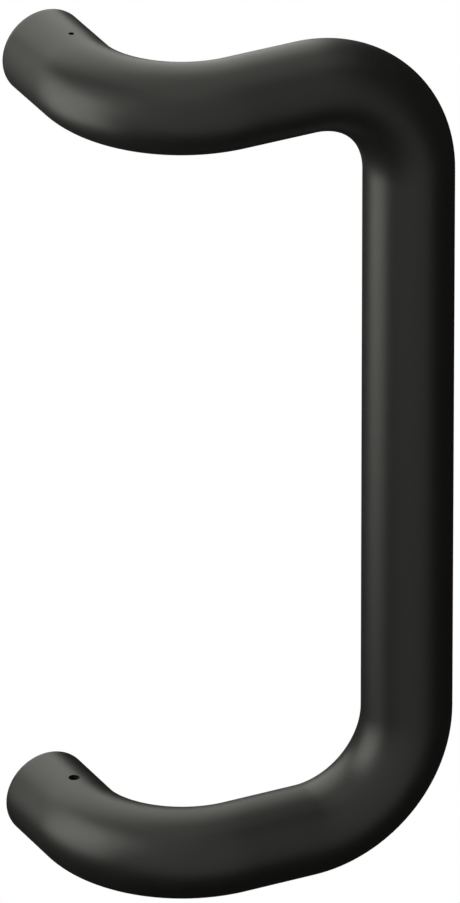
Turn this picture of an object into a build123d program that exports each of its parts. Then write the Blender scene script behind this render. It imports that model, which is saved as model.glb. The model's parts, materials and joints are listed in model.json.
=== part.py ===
"""Offset door pull: one round bar, bent from the door to the side and then into an upright grip.

Millimetres. The origin is on the door's face, midway between the two feet. +X points from the feet
towards the grip, +Y points into the door and +Z points up along the grip.
"""

import os
from math import radians, sqrt, tan

from build123d import *

# Bar
BAR_DIAMETER = 25.4
FOOT_CENTRES = 228.6  # between the axes of the two feet
STANDOFF = 52.1  # from the door's face to the axis of the arms and the grip
SIDE_OFFSET = 85.2  # from the axes of the feet to the axis of the grip
BEND_RADIUS = 31.75  # of the bar's axis, the same in all four bends
RIM_ROUND = 0.3  # broken edge round each foot

# Stud bore in each foot
STUD_DIAMETER = 7.9
STUD_CLEARANCE = 0.2  # on the diameter
STUD_DEPTH = 24.0  # from the door's face to the end of the full-width wall
MOUTH_CHAMFER = 0.5
DRILL_POINT_ANGLE = 118.0

# Set screws, one in the top of each leg
SCREW_SETBACK = 16.9  # from the door's face to the axes of the screws
SCREW_DIAMETER = 3.0
SCREW_CLEARANCE = 0.06  # on the diameter
SCREW_LENGTH = 5.0
SOCKET_END_CHAMFER = 0.1
POINT_CHAMFER = 0.3
SOCKET_ACROSS_FLATS = 1.5
SOCKET_DEPTH = 2.0
CUP_DIAMETER = 1.4
CUP_DEPTH = 0.6
UPPER_SCREW_SINK = 0.1  # of the screw's top below the crown of the leg
LOWER_SCREW_GAP = 0.3  # between the screw's point and the wall of the stud bore

bar_radius = BAR_DIAMETER / 2
bore_radius = (STUD_DIAMETER + STUD_CLEARANCE) / 2
drill_point = bore_radius / tan(radians(DRILL_POINT_ANGLE / 2))
screw_radius = SCREW_DIAMETER / 2
screw_hole_radius = (SCREW_DIAMETER + SCREW_CLEARANCE) / 2
socket_corner_radius = SOCKET_ACROSS_FLATS / sqrt(3)

# Where the straight runs of the bar's axis would meet, from the upper foot to the lower one
upper_foot = Vector(0, 0, FOOT_CENTRES / 2)
upper_elbow = Vector(0, -STANDOFF, FOOT_CENTRES / 2)
grip_top = Vector(SIDE_OFFSET, -STANDOFF, FOOT_CENTRES / 2)
grip_bottom = Vector(SIDE_OFFSET, -STANDOFF, -FOOT_CENTRES / 2)
lower_elbow = Vector(0, -STANDOFF, -FOOT_CENTRES / 2)
lower_foot = Vector(0, 0, -FOOT_CENTRES / 2)

# The tops of the set screws: the upper one is level with the bar, the lower one is driven in
screw_axis = Vector(0, -SCREW_SETBACK, 0)
upper_screw_top = upper_foot + screw_axis + Vector(0, 0, bar_radius - UPPER_SCREW_SINK)
lower_screw_top = lower_foot + screw_axis + Vector(0, 0, bore_radius + LOWER_SCREW_GAP + SCREW_LENGTH)

with BuildPart() as pull_bar:
    # The round bar, swept along its bent axis
    with BuildLine() as bar_axis:
        FilletPolyline(
            upper_foot,
            upper_elbow,
            grip_top,
            grip_bottom,
            lower_elbow,
            lower_foot,
            radius=BEND_RADIUS,
        )
    with BuildSketch(Plane(origin=upper_foot, x_dir=(1, 0, 0), z_dir=(0, -1, 0))):
        Circle(bar_radius)
    sweep(path=bar_axis.line)
    foot_faces = pull_bar.faces().filter_by(Axis.Y).group_by(Axis.Y)[-1]
    fillet(foot_faces.edges(), RIM_ROUND)

    # A blind stud bore in each foot, with a chamfered mouth and the cone that the drill leaves
    for foot in (upper_foot, lower_foot):
        with BuildSketch(Plane(origin=foot)):
            with BuildLine():
                Polyline(
                    (0, 0),
                    (bore_radius + MOUTH_CHAMFER, 0),
                    (bore_radius, -MOUTH_CHAMFER),
                    (bore_radius, -STUD_DEPTH),
                    (0, -STUD_DEPTH - drill_point),
                    close=True,
                )
            make_face()
        revolve(axis=Axis(foot, (0, 1, 0)), mode=Mode.SUBTRACT)

    # A cross hole from the crown of each leg into its stud bore
    for foot in (upper_foot, lower_foot):
        with Locations(foot + screw_axis + Vector(0, 0, bar_radius)):
            Hole(screw_hole_radius, depth=bar_radius)

pull_bar.part.label = "pull_bar"

with BuildPart() as set_screws:
    # Two turned blanks, chamfered a little at the socket and more at the point
    with BuildSketch(Plane(origin=upper_screw_top), Plane(origin=lower_screw_top)):
        Circle(screw_radius)
    extrude(amount=-SCREW_LENGTH)
    socket_ends = set_screws.faces().filter_by(Axis.Z).filter_by(lambda face: face.normal_at().Z > 0)
    chamfer(socket_ends.edges(), SOCKET_END_CHAMFER)
    points = set_screws.faces().filter_by(Axis.Z).filter_by(lambda face: face.normal_at().Z < 0)
    chamfer(points.edges(), POINT_CHAMFER)

    # A hexagon socket in the top of each, and a cup in its point
    for screw_top in (upper_screw_top, lower_screw_top):
        with BuildSketch(Plane(origin=screw_top)):
            RegularPolygon(socket_corner_radius, 6)
        extrude(amount=-SOCKET_DEPTH, mode=Mode.SUBTRACT)
        with Locations(screw_top - Vector(0, 0, SCREW_LENGTH)):
            Cone(
                CUP_DIAMETER / 2,
                0,
                CUP_DEPTH,
                align=(Align.CENTER, Align.CENTER, Align.MIN),
                mode=Mode.SUBTRACT,
            )

set_screws.part.label = "set_screws"

os.makedirs("parts", exist_ok=True)
for piece in (pull_bar.part, set_screws.part):
    export_step(piece, f"parts/{piece.label}.step")
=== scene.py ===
"""Looks of an offset door pull: its bent bar, its set screws and the studio that shows them.

Metres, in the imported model's frame. The origin is on the door's face, midway between the feet. +X points
from the feet towards the grip, +Y points into the door and +Z points up along the grip.
"""

import json
from math import ceil, cos, pi, radians, sin, sqrt, tan

import bmesh
import bpy
from bpy.props import FloatProperty, FloatVectorProperty, PointerProperty
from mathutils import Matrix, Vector


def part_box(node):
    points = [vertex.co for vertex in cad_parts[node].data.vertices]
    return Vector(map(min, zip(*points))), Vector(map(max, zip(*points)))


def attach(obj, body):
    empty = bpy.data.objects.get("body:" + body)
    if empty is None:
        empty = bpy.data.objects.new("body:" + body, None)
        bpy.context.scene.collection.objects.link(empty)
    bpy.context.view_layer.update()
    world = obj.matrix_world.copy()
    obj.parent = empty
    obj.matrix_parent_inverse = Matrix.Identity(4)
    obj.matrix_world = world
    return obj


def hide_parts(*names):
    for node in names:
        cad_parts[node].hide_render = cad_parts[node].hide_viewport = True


bl_info = {
    "name": "Offset Door Pull",
    "version": (1, 0, 0),
    "blender": (4, 5, 0),
    "location": "View3D > Sidebar > Door Pull",
    "description": "Models a bent-bar door pull with its set screws and a plain studio",
    "category": "Add Mesh",
}

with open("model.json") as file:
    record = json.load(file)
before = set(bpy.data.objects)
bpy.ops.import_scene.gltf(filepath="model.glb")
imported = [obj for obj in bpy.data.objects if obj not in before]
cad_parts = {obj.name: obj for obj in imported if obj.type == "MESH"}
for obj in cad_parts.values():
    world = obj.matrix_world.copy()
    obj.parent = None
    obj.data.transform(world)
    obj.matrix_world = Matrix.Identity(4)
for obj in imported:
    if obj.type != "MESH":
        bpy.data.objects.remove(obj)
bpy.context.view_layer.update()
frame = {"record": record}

# Sizes that the frame gives
MM = 0.001
mount_sizes = {mount["name"]: mount["dims"] for mount in frame["record"]["mounts"]}
bar_low, bar_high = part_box("pull_bar")
screws_low, screws_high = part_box("set_screws")
FOOT_CENTRES = mount_sizes["door_studs"]["spacing_y_mm"] * MM
BORE_RADIUS = mount_sizes["upper_stud_bore"]["r_mm"] * MM
BORE_WALL = mount_sizes["upper_stud_bore"]["length_mm"] * MM
BAR_RADIUS = round(bar_high.z - FOOT_CENTRES / 2, 4)
STANDOFF = round(-bar_low.y - BAR_RADIUS, 4)
SIDE_OFFSET = round(bar_high.x - BAR_RADIUS, 4)
SCREW_RADIUS = round((screws_high.x - screws_low.x) / 2, 4)
SCREW_SETBACK = round(-(screws_low.y + screws_high.y) / 2, 4)
UPPER_SCREW_TOP = screws_high.z
LOWER_SCREW_POINT = screws_low.z

# How finely round shapes are divided
BAR_SIDES = 128
BEND_STEPS = 45
STRAIGHT_STEP = 1.6 * MM
RIM_SEGMENTS = 4
SCREW_SIDES = 48
FLOOR_SIDES = 64
SHARP_ANGLE = radians(35)

# How close points are that count as being in one place, that are merged, or that lie on a cut
NEAR = 0.01 * MM
MERGE_WITHIN = NEAR / 10
CUT_WITHIN = NEAR / 100

# A metric thread's profile: its full angle, and its flats and flanks as shares of the pitch
THREAD_ANGLE = radians(60)
ROOT_FLAT = 1 / 4
FLANK = 5 / 16
CREST_FLAT = 1 / 8

# How far a blank or a cutter runs past the thread, as shares of the pitch
BLANK_SPARE = 1 / 20
DIE_SPARE = 1 / 3
TAP_SPARE = 1 / 4

# Turns that a thread is wound beyond its length before it is cut off square, below it and in all
TURNS_BELOW = 1
SPARE_TURNS = 3

# Width of the flat ring that holds the bevel of a foot's rim, in rounds of the rim
RIM_MARGIN = 3

# The middle range that most of a noise falls in
NOISE_LOW, NOISE_HIGH = 0.3, 0.7

# Soft lamps: azimuth from the front and elevation in degrees, then distance, width and height in metres
PANELS = {
    "left_panel": (-106, 2, 0.36, 0.36, 0.4),
    "corner_panel": (-86, 25, 0.7, 0.5, 0.6),
    "front_panel": (-16, 13, 1.0, 2.4, 2.3),
    "top_panel": (14, 88, 0.54, 0.64, 0.54),
    "back_panel": (181, 34, 0.58, 0.68, 0.72),
    "right_panel": (85, 18, 1.0, 1.6, 1.6),
}
FLOOR_RADIUS = 6.0
WHITE = (1, 1, 1, 1)
MIRRORED_ONCE = 1.5  # a ray with more mirrorings than this has been in a bore


class PullBarSizes(bpy.types.PropertyGroup):
    """Sizes of the bent bar"""

    radius: FloatProperty(
        name="Bar Radius", description="Of the round bar", default=BAR_RADIUS, unit="LENGTH", precision=5
    )
    foot_centres: FloatProperty(
        name="Foot Centres", description="Between the axes of the feet", default=FOOT_CENTRES, unit="LENGTH"
    )
    standoff: FloatProperty(
        name="Standoff", description="From the door to the axis of the grip", default=STANDOFF, unit="LENGTH"
    )
    side_offset: FloatProperty(
        name="Side Offset", description="From feet to grip, between axes", default=SIDE_OFFSET, unit="LENGTH"
    )
    bend_radius: FloatProperty(
        name="Bend Radius", description="Of the bar's axis in each bend", default=31.75 * MM, unit="LENGTH"
    )
    rim_round: FloatProperty(
        name="Rim Round", description="Broken edge of a foot", default=0.3 * MM, unit="LENGTH", precision=5
    )
    bore_radius: FloatProperty(
        name="Bore Radius", description="Of the stud bores", default=BORE_RADIUS, unit="LENGTH", precision=5
    )
    bore_wall: FloatProperty(
        name="Bore Wall", description="Length of a stud bore's round wall", default=BORE_WALL, unit="LENGTH"
    )
    mouth_chamfer: FloatProperty(
        name="Mouth Chamfer", description="Chamfer of a stud bore's mouth", default=0.5 * MM, unit="LENGTH"
    )
    drill_angle: FloatProperty(
        name="Drill Angle", description="Of the drilled cone", default=radians(118), subtype="ANGLE"
    )


class SetScrewSizes(bpy.types.PropertyGroup):
    """Sizes of the set screws and their tapped holes"""

    radius: FloatProperty(
        name="Screw Radius", description="Over the thread", default=SCREW_RADIUS, unit="LENGTH", precision=5
    )
    pitch: FloatProperty(
        name="Pitch", description="Pitch of the thread", default=0.5 * MM, unit="LENGTH", precision=5
    )
    length: FloatProperty(
        name="Length", description="Length of a set screw", default=5 * MM, unit="LENGTH", precision=5
    )
    socket_chamfer: FloatProperty(
        name="Socket Chamfer", description="Round the socket", default=0.1 * MM, unit="LENGTH", precision=5
    )
    point_chamfer: FloatProperty(
        name="Point Chamfer", description="Round the cup point", default=0.3 * MM, unit="LENGTH", precision=5
    )
    socket_flats: FloatProperty(
        name="Socket Flats", description="Across the hexagon", default=1.5 * MM, unit="LENGTH", precision=5
    )
    socket_depth: FloatProperty(
        name="Socket Depth", description="Depth of the socket", default=2 * MM, unit="LENGTH", precision=5
    )
    cup_radius: FloatProperty(
        name="Cup Radius", description="Of the cup in the point", default=0.7 * MM, unit="LENGTH", precision=5
    )
    cup_depth: FloatProperty(
        name="Cup Depth", description="Of the cup in the point", default=0.6 * MM, unit="LENGTH", precision=5
    )
    thread_play: FloatProperty(
        name="Thread Play", description="From screw to hole", default=0.03 * MM, unit="LENGTH", precision=6
    )
    hole_mouth: FloatProperty(
        name="Hole Mouth", description="Plain wall above the hole's thread", default=0.6 * MM, unit="LENGTH"
    )
    setback: FloatProperty(
        name="Setback", description="From the door to the screws' axes", default=SCREW_SETBACK, unit="LENGTH"
    )


class PullFinishes(bpy.types.PropertyGroup):
    """Colours and gloss of the coat and the metals"""

    coat_colour: FloatVectorProperty(
        name="Coat", description="Matte black powder coat", default=(0.007, 0.007, 0.0066), subtype="COLOR"
    )
    coat_roughness: FloatProperty(
        name="Coat Roughness", description="Roughness of the coat", default=0.43, subtype="FACTOR"
    )
    # Blackened steel of the screws, and also the painted shade on the walls of the bar's tapped holes
    oxide_colour: FloatVectorProperty(
        name="Black Oxide", description="Oiled threads", default=(0.004, 0.004, 0.004), subtype="COLOR"
    )
    bore_colour: FloatVectorProperty(
        name="Bare Metal", description="Drilled stud bores", default=(0.86, 0.865, 0.87), subtype="COLOR"
    )


class PullStudio(bpy.types.PropertyGroup):
    """The camera, the lamps and the floor"""

    azimuth: FloatProperty(
        name="Azimuth", description="Camera's, from the front", default=radians(-27), subtype="ANGLE"
    )
    elevation: FloatProperty(
        name="Elevation", description="Camera's, above level", default=radians(27), subtype="ANGLE"
    )
    distance: FloatProperty(
        name="Distance", description="Of the camera from the pull", default=6.015, unit="LENGTH"
    )
    lens: FloatProperty(name="Lens", description="Focal length in millimetres", default=872.0, unit="CAMERA")
    aim: FloatVectorProperty(
        name="Aim", description="Where the camera looks", default=(0.04375, -0.02598, -0.00646), subtype="XYZ"
    )
    lamp_colour: FloatVectorProperty(
        name="Lamps", description="Colour of all the lamps", default=(1.0, 1.0, 0.935), subtype="COLOR"
    )
    left_panel: FloatProperty(name="Left Panel", description="Brightness of the left panel", default=2.95)
    corner_panel: FloatProperty(name="Corner Panel", description="Brightness of the corner one", default=1.05)
    front_panel: FloatProperty(name="Front Panel", description="Brightness of the front panel", default=0.67)
    top_panel: FloatProperty(name="Top Panel", description="Brightness of the top panel", default=1.06)
    back_panel: FloatProperty(name="Back Panel", description="Brightness of the back panel", default=2.1)
    right_panel: FloatProperty(name="Right Panel", description="Brightness of the right panel", default=0.03)
    mirrored_white: FloatProperty(
        name="Mirrored White", description="White that the coat mirrors", default=0.001, subtype="FACTOR"
    )
    floor_drop: FloatProperty(
        name="Floor Drop", description="From the pull's middle to the floor", default=3.0, unit="LENGTH"
    )
    floor_shade: FloatProperty(
        name="Floor Shade", description="What it gives back of the lamps", default=0.06, subtype="FACTOR"
    )


def deselect_objects():
    """Leaves no object selected, so that an operator meets only the piece that is being made."""
    for chosen in list(bpy.context.selected_objects):
        chosen.select_set(False)


def open_primitive(name):
    """Names the primitive that was just added, puts its place in its mesh and opens it for editing."""
    piece = bpy.context.active_object
    piece.name = name
    piece.data.name = name
    bpy.ops.object.transform_apply(location=True, rotation=True, scale=True)
    bpy.ops.object.mode_set(mode="EDIT")
    return piece


def select_points(piece, wanted):
    """Selects the points that pass a test of their place, with the edges and faces that they bound."""
    bpy.ops.mesh.select_mode(type="VERT")
    bpy.ops.mesh.select_all(action="DESELECT")
    mesh = bmesh.from_edit_mesh(piece.data)
    for point in mesh.verts:
        if wanted(point.co):
            point.select_set(True)
    mesh.select_flush_mode()
    bmesh.update_edit_mesh(piece.data)


def extrude_by(move):
    """Extrudes what is selected and moves it."""
    bpy.ops.mesh.extrude_region_move(TRANSFORM_OT_translate={"value": tuple(move)})


def close_shell():
    """Merges doubled points and turns every face outwards, then leaves edit mode."""
    bpy.ops.mesh.select_all(action="SELECT")
    bpy.ops.mesh.remove_doubles(threshold=MERGE_WITHIN)
    bpy.ops.mesh.normals_make_consistent(inside=False)
    bpy.ops.object.mode_set(mode="OBJECT")


def apply_boolean(piece, cutter, operation):
    """Cuts the piece with another one, or keeps what they share, and removes the other one."""
    deselect_objects()
    bpy.context.view_layer.objects.active = piece
    piece.select_set(True)
    bpy.ops.object.modifier_add(type="BOOLEAN")
    cut = piece.modifiers[-1]
    cut.operation = operation
    cut.solver = "EXACT"
    cut.object = cutter
    bpy.ops.object.modifier_apply(modifier=cut.name)
    bpy.data.objects.remove(cutter)


def add_straight(run):
    """Extrudes the selected ring along a straight run of the bar."""
    steps = ceil(run.length / STRAIGHT_STEP)
    for _ in range(steps):
        extrude_by(run / steps)


def sweep_bar(sizes, corners):
    """Draws the bar's ring at the first corner through straight runs and bends to the last one."""
    deselect_objects()
    bpy.ops.mesh.primitive_circle_add(
        vertices=BAR_SIDES, radius=sizes.radius, location=corners[0], rotation=(pi / 2, 0, 0)
    )
    bar = open_primitive("pull_bar_coated")
    bpy.ops.mesh.select_all(action="SELECT")
    reached = corners[0]
    for before, corner, after in zip(corners, corners[1:], corners[2:]):
        ahead = (corner - before).normalized()
        aside = (after - corner).normalized()
        bend_start = corner - ahead * sizes.bend_radius
        add_straight(bend_start - reached)
        bpy.ops.mesh.spin(
            steps=BEND_STEPS,
            angle=pi / 2,
            center=bend_start + aside * sizes.bend_radius,
            axis=aside.cross(ahead),
        )
        reached = corner + aside * sizes.bend_radius
    add_straight(corners[-1] - reached)
    return bar


def bore_foot(bar, sizes, foot):
    """Closes an end of the bar with its flat foot and the drilled stud bore."""
    drill_point = sizes.bore_radius / tan(sizes.drill_angle / 2)
    rings = [
        (sizes.radius - RIM_MARGIN * sizes.rim_round, 0.0),
        (sizes.bore_radius + sizes.mouth_chamfer, 0.0),
        (sizes.bore_radius, sizes.mouth_chamfer),
        (sizes.bore_radius, sizes.bore_wall),
    ]
    select_points(bar, lambda point: abs(point.y) < NEAR and abs(point.z - foot.z) < 2 * sizes.radius)
    radius = sizes.radius
    for next_radius, step_in in rings:
        extrude_by((0, -step_in, 0))
        ratio = next_radius / radius
        bpy.ops.transform.resize(value=(ratio, 1, ratio), center_override=foot)
        radius = next_radius
    extrude_by((0, -drill_point, 0))
    bpy.ops.mesh.merge(type="CENTER")


def screw_places(sizes, screws):
    """Each foot's axis point and the top of its set screw: the upper is level, the lower driven in."""
    upper = Vector((0, 0, sizes.foot_centres / 2))
    return [(upper, UPPER_SCREW_TOP), (-upper, LOWER_SCREW_POINT + screws.length)]


def thread_rod(name, screws, play, top, bottom, phase_top):
    """A threaded rod about the screws' axis: its profile wound by a Screw modifier and cut off square."""
    flank = screws.pitch * FLANK
    depth = flank / tan(THREAD_ANGLE / 2)
    profile = [
        Vector((0, 0, screws.pitch * ROOT_FLAT)),
        Vector((depth, 0, flank)),
        Vector((0, 0, screws.pitch * CREST_FLAT)),
        Vector((-depth, 0, flank)),
    ]
    turns = ceil((top - bottom) / screws.pitch) + SPARE_TURNS
    start = phase_top - screws.pitch * (ceil((phase_top - bottom) / screws.pitch) + TURNS_BELOW)
    deselect_objects()
    bpy.ops.mesh.primitive_plane_add(size=screws.pitch, location=(0, -screws.setback, start))
    rod = bpy.context.active_object
    rod.name = name
    bpy.ops.object.mode_set(mode="EDIT")
    bpy.ops.mesh.merge(type="CENTER")
    bpy.ops.transform.translate(value=(screws.radius + play - depth, 0, 0))
    for step in profile:
        extrude_by(step)
    bpy.ops.object.mode_set(mode="OBJECT")
    bpy.ops.object.modifier_add(type="SCREW")
    winding = rod.modifiers[-1]
    winding.axis = "Z"
    winding.steps = SCREW_SIDES
    winding.render_steps = SCREW_SIDES
    winding.screw_offset = screws.pitch
    winding.iterations = turns
    winding.use_merge_vertices = True
    winding.merge_threshold = MERGE_WITHIN
    bpy.ops.object.modifier_apply(modifier=winding.name)
    bpy.ops.object.transform_apply(location=True, rotation=True, scale=True)
    bpy.ops.object.mode_set(mode="EDIT")
    bpy.ops.mesh.select_all(action="SELECT")
    bpy.ops.mesh.remove_doubles(threshold=MERGE_WITHIN)
    for height, outwards in ((top, 1), (bottom, -1)):
        bpy.ops.mesh.select_all(action="SELECT")
        bpy.ops.mesh.bisect(
            plane_co=(0, -screws.setback, height),
            plane_no=(0, 0, outwards),
            use_fill=True,
            clear_outer=True,
            threshold=CUT_WITHIN,
        )
    close_shell()
    return rod


def turn_blank(name, screws, radius, low, high):
    """A round blank about the screws' axis, left open for editing."""
    deselect_objects()
    bpy.ops.mesh.primitive_cylinder_add(
        vertices=SCREW_SIDES,
        radius=radius,
        depth=high - low,
        location=(0, -screws.setback, (high + low) / 2),
        rotation=(0, 0, pi / SCREW_SIDES),
    )
    return open_primitive(name)


def cut_tapped_hole(bar, screws, axis_height, crown, screw_top, mouth_play):
    """Cuts a threaded hole from the crown of a leg into its stud bore, with a plain mouth."""
    above, mouth_end = crown + screws.radius, crown - screws.hole_mouth
    tap_top = mouth_end + TAP_SPARE * screws.pitch
    tap = thread_rod("tap", screws, screws.thread_play, tap_top, axis_height, screw_top)
    apply_boolean(bar, tap, "DIFFERENCE")
    drill = turn_blank("mouth_drill", screws, screws.radius + mouth_play, mouth_end, above)
    close_shell()
    apply_boolean(bar, drill, "DIFFERENCE")


def model_bar(sizes, screws):
    """The bent bar with its bored feet and the tapped holes in the tops of its legs."""
    upper = Vector((0, 0, sizes.foot_centres / 2))
    lower = -upper
    out = Vector((0, -sizes.standoff, 0))
    aside = Vector((sizes.side_offset, 0, 0))
    corners = [upper, upper + out, upper + out + aside, lower + out + aside, lower + out, lower]
    bar = sweep_bar(sizes, corners)
    for foot in (upper, lower):
        bore_foot(bar, sizes, foot)
    rim = sizes.radius - NEAR
    select_points(bar, lambda p: abs(p.y) < NEAR and Vector((p.x, abs(p.z) - upper.z)).length > rim)
    bpy.ops.mesh.bevel(offset=sizes.rim_round, segments=RIM_SEGMENTS, profile=0.5, affect="EDGES")
    close_shell()
    # The coat closes the gap round the level upper screw, and leaves the lower hole open
    mouth_plays = (NEAR, screws.thread_play + NEAR)
    for (foot, screw_top), play in zip(screw_places(sizes, screws), mouth_plays):
        cut_tapped_hole(bar, screws, foot.z, foot.z + sizes.radius, screw_top, play)
    bpy.ops.object.shade_smooth_by_angle(angle=SHARP_ANGLE)
    return bar


def thread_screw(screws, top):
    """A set screw that still has no socket: a chamfered blank with a cup point, threaded outside."""
    point = top - screws.length
    spare, die_spare = BLANK_SPARE * screws.pitch, DIE_SPARE * screws.pitch
    screw = turn_blank("upper_set_screw", screws, screws.radius + spare, point, top)
    for end, chamfer in ((top, screws.socket_chamfer), (point, screws.point_chamfer)):
        select_points(screw, lambda p: abs(p.z - end) < NEAR)
        bpy.ops.mesh.bevel(offset=chamfer + spare, segments=1, affect="EDGES")
    select_points(screw, lambda p: p.z < point + NEAR)
    bpy.ops.mesh.inset(thickness=screws.radius - screws.point_chamfer - screws.cup_radius)
    extrude_by((0, 0, screws.cup_depth))
    bpy.ops.mesh.merge(type="CENTER")
    close_shell()
    die = thread_rod("die", screws, 0.0, top + die_spare, point - die_spare, top)
    apply_boolean(screw, die, "INTERSECT")
    return screw


def fill_mouth(screw, sizes, screws, foot, top):
    """Fills the mouth of the upper hole with coat, over the screw's end and level with the bar's round."""
    half_way, above = top - screws.hole_mouth / 2, foot.z + sizes.radius + screws.radius
    fill = turn_blank("coat_fill", screws, screws.radius, half_way, above)
    close_shell()
    deselect_objects()
    bpy.ops.mesh.primitive_cylinder_add(
        vertices=BAR_SIDES,
        radius=sizes.radius,
        depth=4 * screws.radius,
        location=(0, -screws.setback, foot.z),
        rotation=(pi / 2, 0, 0),
    )
    leg = open_primitive("leg_round")
    close_shell()
    apply_boolean(fill, leg, "INTERSECT")
    apply_boolean(screw, fill, "UNION")


def broach_socket(screw, screws, top):
    """Cuts the hexagon socket into a set screw's end."""
    deselect_objects()
    bpy.ops.mesh.primitive_cylinder_add(
        vertices=6,
        radius=screws.socket_flats / sqrt(3),
        depth=2 * screws.socket_depth,
        location=(0, -screws.setback, top),
    )
    broach = open_primitive("broach")
    close_shell()
    apply_boolean(screw, broach, "DIFFERENCE")
    bpy.ops.object.shade_smooth_by_angle(angle=SHARP_ANGLE)


def fine_surface():
    """The node group that every finish shares: fine grain for bump and slow patches for tone and gloss."""
    name = "fine_surface"
    if name in bpy.data.node_groups:
        return bpy.data.node_groups[name]
    group = bpy.data.node_groups.new(name, "ShaderNodeTree")
    given = group.nodes.new("NodeGroupInput")
    made = group.nodes.new("NodeGroupOutput")
    place = group.nodes.new("ShaderNodeTexCoord")
    for size, output, detail in (("Grain Size", "Grain", 2.0), ("Patch Size", "Patches", 3.0)):
        group.interface.new_socket(size, in_out="INPUT", socket_type="NodeSocketFloat")
        group.interface.new_socket(output, in_out="OUTPUT", socket_type="NodeSocketFloat")
        scale = group.nodes.new("ShaderNodeMath")
        scale.operation = "DIVIDE"
        scale.inputs[0].default_value = 1.0
        noise = group.nodes.new("ShaderNodeTexNoise")
        noise.inputs["Detail"].default_value = detail
        group.links.new(given.outputs[size], scale.inputs[1])
        group.links.new(scale.outputs[0], noise.inputs["Scale"])
        group.links.new(place.outputs["Object"], noise.inputs["Vector"])
        group.links.new(noise.outputs["Fac"], made.inputs[output])
    return group


def new_finish(name, grain_size, patch_size, relief):
    """A material whose surface group feeds a bump, with its node tree, shader and group to finish it."""
    material = bpy.data.materials.new(name)
    material.use_nodes = True
    tree = material.node_tree
    shader = tree.nodes["Principled BSDF"]
    surface = tree.nodes.new("ShaderNodeGroup")
    surface.node_tree = fine_surface()
    surface.inputs["Grain Size"].default_value = grain_size
    surface.inputs["Patch Size"].default_value = patch_size
    bump = tree.nodes.new("ShaderNodeBump")
    bump.inputs["Strength"].default_value = 1.0
    bump.inputs["Distance"].default_value = relief
    tree.links.new(surface.outputs["Grain"], bump.inputs["Height"])
    tree.links.new(bump.outputs["Normal"], shader.inputs["Normal"])
    return material, tree, shader, surface, bump


def spread_value(tree, source, low, high, target):
    """Feeds a socket with a value that runs from low to high over a noise's middle range."""
    spread = tree.nodes.new("ShaderNodeMapRange")
    spread.inputs["From Min"].default_value = NOISE_LOW
    spread.inputs["From Max"].default_value = NOISE_HIGH
    spread.inputs["To Min"].default_value = low
    spread.inputs["To Max"].default_value = high
    tree.links.new(source, spread.inputs["Value"])
    tree.links.new(spread.outputs["Result"], target)


def spread_colour(tree, source, colour, change, target):
    """Feeds a socket with a colour that runs from darker to lighter over a noise's middle range."""
    ramp = tree.nodes.new("ShaderNodeValToRGB")
    levels = ((NOISE_LOW, 1 - change), (NOISE_HIGH, 1 + change))
    for element, (position, level) in zip(ramp.color_ramp.elements, levels):
        element.position = position
        element.color = (*(channel * level for channel in colour), 1)
    tree.links.new(source, ramp.inputs["Fac"])
    tree.links.new(ramp.outputs["Color"], target)


def black_powder_coat(finishes):
    """Matte black powder coat: even, with a faint orange peel and hardly any mottle."""
    material, tree, shader, surface, _ = new_finish(
        "black_powder_coat", grain_size=0.5 * MM, patch_size=9 * MM, relief=0.0012 * MM
    )
    mottle, gloss_change = 0.06, 0.012
    patches, rough = surface.outputs["Patches"], finishes.coat_roughness
    spread_colour(tree, patches, finishes.coat_colour, mottle, shader.inputs["Base Color"])
    spread_value(tree, patches, rough - gloss_change, rough + gloss_change, shader.inputs["Roughness"])
    return material


def black_oxide_and_hole_shade(finishes):
    """Blackened steel of the set screws and their sockets, dark with oil; on the walls of the bar's tapped
    holes the same near-black is painted shade.
    """
    material, tree, shader, surface, _ = new_finish(
        "black_oxide_and_hole_shade", grain_size=0.15 * MM, patch_size=1 * MM, relief=0.002 * MM
    )
    mottle, smoothest, roughest = 0.3, 0.45, 0.6
    patches, grain = surface.outputs["Patches"], surface.outputs["Grain"]
    spread_colour(tree, patches, finishes.oxide_colour, mottle, shader.inputs["Base Color"])
    spread_value(tree, grain, smoothest, roughest, shader.inputs["Roughness"])
    shader.inputs["Specular IOR Level"].default_value = 0.2
    return material


def drilled_aluminium(finishes):
    """Bare metal of the stud bores, with the fine rings that a drill leaves round the wall."""
    material, tree, shader, surface, bump = new_finish(
        "drilled_aluminium", grain_size=0.3 * MM, patch_size=4 * MM, relief=0.004 * MM
    )
    mottle, smoothest, roughest = 0.08, 0.3, 0.45
    ring_step = 0.35 * MM
    wave_step = pi / 10  # of the wave's bands at a scale of 1
    place = tree.nodes.new("ShaderNodeTexCoord")
    rings = tree.nodes.new("ShaderNodeTexWave")
    rings.bands_direction = "Y"
    rings.inputs["Scale"].default_value = wave_step / ring_step
    rings.inputs["Distortion"].default_value = 1.5
    tree.links.new(place.outputs["Object"], rings.inputs["Vector"])
    tree.links.new(rings.outputs["Fac"], bump.inputs["Height"])
    patches, grain = surface.outputs["Patches"], surface.outputs["Grain"]
    spread_colour(tree, patches, finishes.bore_colour, mottle, shader.inputs["Base Color"])
    spread_value(tree, grain, smoothest, roughest, shader.inputs["Roughness"])
    shader.inputs["Metallic"].default_value = 1.0
    return material


def finish(build, finishes):
    """The material that a function of the same name builds, made once and then shared."""
    return bpy.data.materials.get(build.__name__) or build(finishes)


def finish_faces(piece, material, wanted):
    """Gives a material to the faces whose points all pass a test of their place."""
    slots = piece.data.materials
    if material.name not in slots:
        slots.append(material)
    for face in piece.data.polygons:
        if all(wanted(piece.data.vertices[corner].co) for corner in face.vertices):
            face.material_index = slots.find(material.name)


def off_axis(point, other, *axes):
    """Distance of a point from a line through another one, measured in the two axes across that line."""
    return Vector((point[axis] - other[axis] for axis in axes)).length


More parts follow.
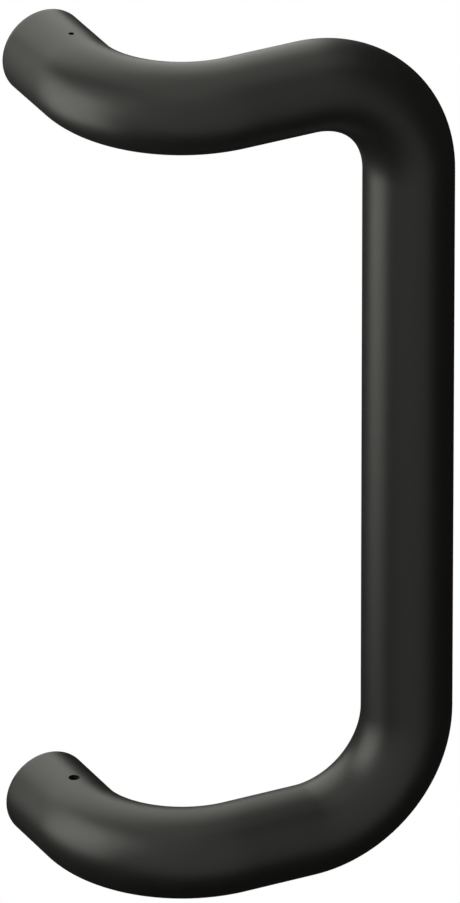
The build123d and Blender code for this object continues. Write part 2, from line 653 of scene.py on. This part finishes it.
def finish_bar(bar, sizes, screws, finishes):
    """Coats the bar, leaves its stud bores bare and paints shade in near-black on the walls of its tapped
    holes.
    """
    finish_faces(bar, finish(black_powder_coat, finishes), lambda p: True)
    past_bore, in_bore = -sizes.bore_wall - sizes.bore_radius, sizes.bore_radius + NEAR
    hole, in_hole = Vector((0, -screws.setback, 0)), screws.radius + screws.thread_play + 2 * NEAR
    past_thread = sizes.bore_radius - screws.radius
    # The coat runs on into the mouth round the level upper screw, and stops at the open lower hole
    thread_tops = (sizes.radius - screws.hole_mouth, sizes.radius)
    for (foot, _), thread_top in zip(screw_places(sizes, screws), thread_tops):
        finish_faces(
            bar,
            finish(drilled_aluminium, finishes),
            lambda p: p.y > past_bore and off_axis(p, foot, 0, 2) < in_bore,
        )
        # Painted shade: the tapped holes' walls in the bar take the screws' near-black, so that they read
        # dark as if shadowed
        finish_faces(
            bar,
            finish(black_oxide_and_hole_shade, finishes),
            lambda p: off_axis(p, hole, 0, 1) < in_hole and past_thread < p.z - foot.z < thread_top + NEAR,
        )


def direction(azimuth, elevation):
    """From the pull, at an azimuth from the front that grows to the right."""
    return Vector((sin(azimuth) * cos(elevation), -cos(azimuth) * cos(elevation), sin(elevation)))


def aim_camera(context, studio):
    """A long lens at the picture's angle, so that the bar's runs stay nearly parallel."""
    back = direction(studio.azimuth, studio.elevation)
    bpy.ops.object.camera_add(location=Vector(studio.aim) + back * studio.distance)
    camera = context.active_object
    camera.rotation_euler = (-back).to_track_quat("-Z", "Y").to_euler()
    camera.data.lens = studio.lens
    camera.data.clip_end = 2 * studio.distance
    context.scene.camera = camera


def hang_panel(studio, name):
    """A soft rectangular lamp that faces the pull and that the camera doesn't see."""
    azimuth, elevation, distance, width, height = PANELS[name]
    out = direction(radians(azimuth), radians(elevation))
    bpy.ops.object.light_add(type="AREA", location=Vector(studio.aim) + out * distance)
    panel = bpy.context.active_object
    panel.name = name
    panel.rotation_euler = out.to_track_quat("Z", "Y").to_euler()
    panel.data.shape = "RECTANGLE"
    panel.data.size, panel.data.size_y = width, height
    panel.data.color = studio.lamp_colour
    panel.data.energy = getattr(studio, name) * pi * width * height
    panel.visible_camera = False


def white_to_camera(tree, studio):
    """1 for the camera's rays, those through glass and those out of a bore, a little for the coat's, else 0.

    The picture's rims are nearly black, so the coat mirrors only a small share of the white. Bare metal in
    a bore mirrors a ray twice or more, and then shows all of it.
    """
    path = tree.nodes.new("ShaderNodeLightPath")
    coat = tree.nodes.new("ShaderNodeMath")
    coat.operation = "MULTIPLY_ADD"
    coat.inputs[1].default_value = studio.mirrored_white
    bore = tree.nodes.new("ShaderNodeMath")
    bore.operation = "GREATER_THAN"
    bore.inputs[1].default_value = MIRRORED_ONCE
    mirrored = tree.nodes.new("ShaderNodeMath")
    white = tree.nodes.new("ShaderNodeMath")
    for larger in (mirrored, white):
        larger.operation = "MAXIMUM"
    tree.links.new(path.outputs["Is Glossy Ray"], coat.inputs[0])
    tree.links.new(path.outputs["Is Transmission Ray"], coat.inputs[2])
    tree.links.new(path.outputs["Glossy Depth"], bore.inputs[0])
    tree.links.new(coat.outputs[0], mirrored.inputs[0])
    tree.links.new(bore.outputs[0], mirrored.inputs[1])
    tree.links.new(path.outputs["Is Camera Ray"], white.inputs[0])
    tree.links.new(mirrored.outputs[0], white.inputs[1])
    return white.outputs[0]


def lay_floor(studio):
    """A plain floor far below the pull, white to the camera and dim to the lamps."""
    bpy.ops.mesh.primitive_circle_add(
        vertices=FLOOR_SIDES, radius=FLOOR_RADIUS, fill_type="NGON", location=(0, 0, -studio.floor_drop)
    )
    floor = bpy.context.active_object
    floor.name = "studio_floor"
    material = bpy.data.materials.new("pale_floor")
    material.use_nodes = True
    tree = material.node_tree
    shader = tree.nodes["Principled BSDF"]
    shader.inputs["Base Color"].default_value = (*[studio.floor_shade] * 3, 1)
    shader.inputs["Roughness"].default_value = 0.9
    shader.inputs["Emission Color"].default_value = WHITE
    tree.links.new(white_to_camera(tree, studio), shader.inputs["Emission Strength"])
    floor.data.materials.append(material)


def white_surroundings(context, studio):
    """White behind the pull that lights nothing, so that the lamps alone shape the coat."""
    world = bpy.data.worlds.new("white_surroundings")
    context.scene.world = world
    world.use_nodes = True
    tree = world.node_tree
    backdrop = tree.nodes["Background"]
    backdrop.inputs["Color"].default_value = WHITE
    tree.links.new(white_to_camera(tree, studio), backdrop.inputs["Strength"])


class DOORPULL_OT_model_bar(bpy.types.Operator):
    """Model the bent bar with its bored feet and tapped holes"""

    bl_idname = "door_pull.model_bar"
    bl_label = "Model Bar"

    def execute(self, context):
        scene = context.scene
        bar = model_bar(scene.pull_bar_sizes, scene.set_screw_sizes)
        finish_bar(bar, scene.pull_bar_sizes, scene.set_screw_sizes, scene.pull_finishes)
        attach(bar, "root")
        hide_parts("pull_bar")
        return {"FINISHED"}


class DOORPULL_OT_model_set_screws(bpy.types.Operator):
    """Model one set screw and copy it into the other leg"""

    bl_idname = "door_pull.model_set_screws"
    bl_label = "Model Set Screws"

    def execute(self, context):
        scene = context.scene
        sizes, screws, finishes = scene.pull_bar_sizes, scene.set_screw_sizes, scene.pull_finishes
        (upper_foot, upper_top), (_, lower_top) = screw_places(sizes, screws)
        upper_screw = thread_screw(screws, upper_top)
        bpy.ops.object.duplicate()
        lower_screw = context.active_object
        lower_screw.name = lower_screw.data.name = "lower_set_screw"
        bpy.ops.transform.translate(value=(0, 0, lower_top - upper_top))
        bpy.ops.object.transform_apply(location=True, rotation=True, scale=True)
        fill_mouth(upper_screw, sizes, screws, upper_foot, upper_top)
        for screw, top in ((upper_screw, upper_top), (lower_screw, lower_top)):
            broach_socket(screw, screws, top)
            coat_edge = top - screws.hole_mouth
            finish_faces(screw, finish(black_oxide_and_hole_shade, finishes), lambda p: True)
            finish_faces(screw, finish(black_powder_coat, finishes), lambda p: p.z > coat_edge)
            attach(screw, "root")
            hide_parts("set_screws")
        return {"FINISHED"}


class DOORPULL_OT_set_stage(bpy.types.Operator):
    """Set the camera, the lamps, the floor and the white surroundings"""

    bl_idname = "door_pull.set_stage"
    bl_label = "Set Stage"

    def execute(self, context):
        studio = context.scene.pull_studio
        context.scene.view_settings.view_transform = "Standard"
        aim_camera(context, studio)
        lay_floor(studio)
        white_surroundings(context, studio)
        for name in PANELS:
            hang_panel(studio, name)
        return {"FINISHED"}


class DOORPULL_PT_sidebar(bpy.types.Panel):
    """Sizes, finishes and steps of the door pull"""

    bl_label = "Door Pull"
    bl_idname = "DOORPULL_PT_sidebar"
    bl_space_type = "VIEW_3D"
    bl_region_type = "UI"
    bl_category = "Door Pull"

    def draw(self, context):
        for setting in SETTINGS:
            group = getattr(context.scene, setting)
            box = self.layout.box()
            for name in group.bl_rna.properties.keys():
                if name not in ("rna_type", "name"):
                    box.prop(group, name)
        for step in STEPS:
            self.layout.operator(step.bl_idname)


STEPS = (DOORPULL_OT_model_bar, DOORPULL_OT_model_set_screws, DOORPULL_OT_set_stage)
SETTINGS = {
    "pull_bar_sizes": PullBarSizes,
    "set_screw_sizes": SetScrewSizes,
    "pull_finishes": PullFinishes,
    "pull_studio": PullStudio,
}
CLASSES = (*SETTINGS.values(), *STEPS, DOORPULL_PT_sidebar)


def register():
    for item in CLASSES:
        bpy.utils.register_class(item)
    for name, group in SETTINGS.items():
        setattr(bpy.types.Scene, name, PointerProperty(type=group))


def unregister():
    for name in SETTINGS:
        delattr(bpy.types.Scene, name)
    for item in reversed(CLASSES):
        bpy.utils.unregister_class(item)


def main():
    register()
    bpy.ops.door_pull.model_bar()
    bpy.ops.door_pull.model_set_screws()
    bpy.ops.door_pull.set_stage()


if __name__ == "__main__":
    main()
